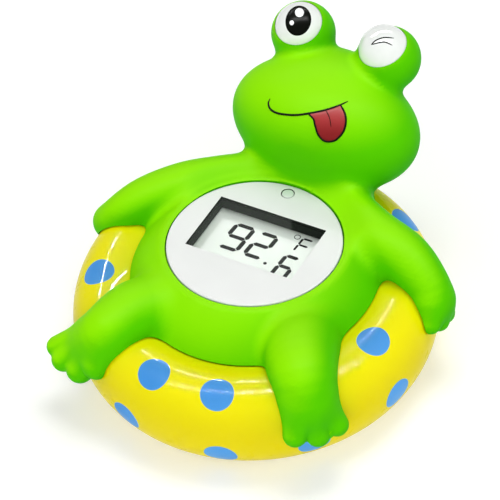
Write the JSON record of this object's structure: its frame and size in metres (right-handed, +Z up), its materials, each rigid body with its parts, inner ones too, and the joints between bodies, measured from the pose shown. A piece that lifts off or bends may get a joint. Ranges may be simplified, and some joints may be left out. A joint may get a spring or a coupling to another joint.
{
  "type": "baby bath thermometer",
  "caption": "Floating frog-shaped bath thermometer in a spotted swim ring, with a round belly bezel, digital display and alarm light above a sensing capsule.",
  "frame": {"origin": "centre of the bounding box's base, on the surface that the ring rests on", "axes": "+Z up through the display, +Y toward the frog's head, +X toward the frog's own left arm"},
  "size_m": [0.1068, 0.1182, 0.0686],
  "materials": {
    "green_vinyl": "soft satin vinyl, green",
    "yellow_vinyl": "glossy vinyl, yellow with printed blue spots",
    "eye_white_open": "glossy white with a printed black pupil",
    "eye_white_wink": "glossy white with a printed wink line",
    "bezel_white": "satin white ABS",
    "clear_window": "clear acrylic",
    "black_plastic": "black plastic",
    "lcd_panel": "pale grey-green liquid crystal cell with a reflective back",
    "zebra_rubber": "conductive silicone strip",
    "board_green": "green solder mask on glass-epoxy",
    "resin_black": "black resin",
    "led_body": "small lamp",
    "lens_milky": "milky light guide",
    "capsule_white": "white ABS",
    "seal_rubber": "black nitrile",
    "cup_plastic": "grey plastic",
    "contact_nickel": "nickel-plated steel",
    "cell_steel": "steel can",
    "door_plastic": "white ABS",
    "probe_steel": "stainless steel",
    "bead_epoxy": "epoxy bead",
    "wire_red": "insulated wire",
    "wire_blue": "insulated wire"
  },
  "bodies": {
    "root": {"frog_body": "green_vinyl", "swim_ring": "yellow_vinyl", "eye_ball_right": "eye_white_open", "eye_ball_left": "eye_white_wink", "bezel": "bezel_white", "window_lens": "clear_window", "display_surround": "black_plastic", "lcd_glass": "lcd_panel", "zebra_strip_front": "zebra_rubber", "zebra_strip_rear": "zebra_rubber", "circuit_board": "board_green", "chip_cover": "resin_black", "alarm_led": "led_body", "led_lens": "lens_milky", "capsule_housing": "capsule_white", "housing_seal": "seal_rubber", "battery_cup": "cup_plastic", "contact_base": "contact_nickel", "contact_top": "contact_nickel", "battery_cell_lower": "cell_steel", "battery_cell_upper": "cell_steel", "battery_door": "door_plastic", "probe_cap": "probe_steel", "thermistor": "bead_epoxy", "lead_wire_front": "wire_red", "lead_wire_rear": "wire_blue"}
  },
  "joints": []
}
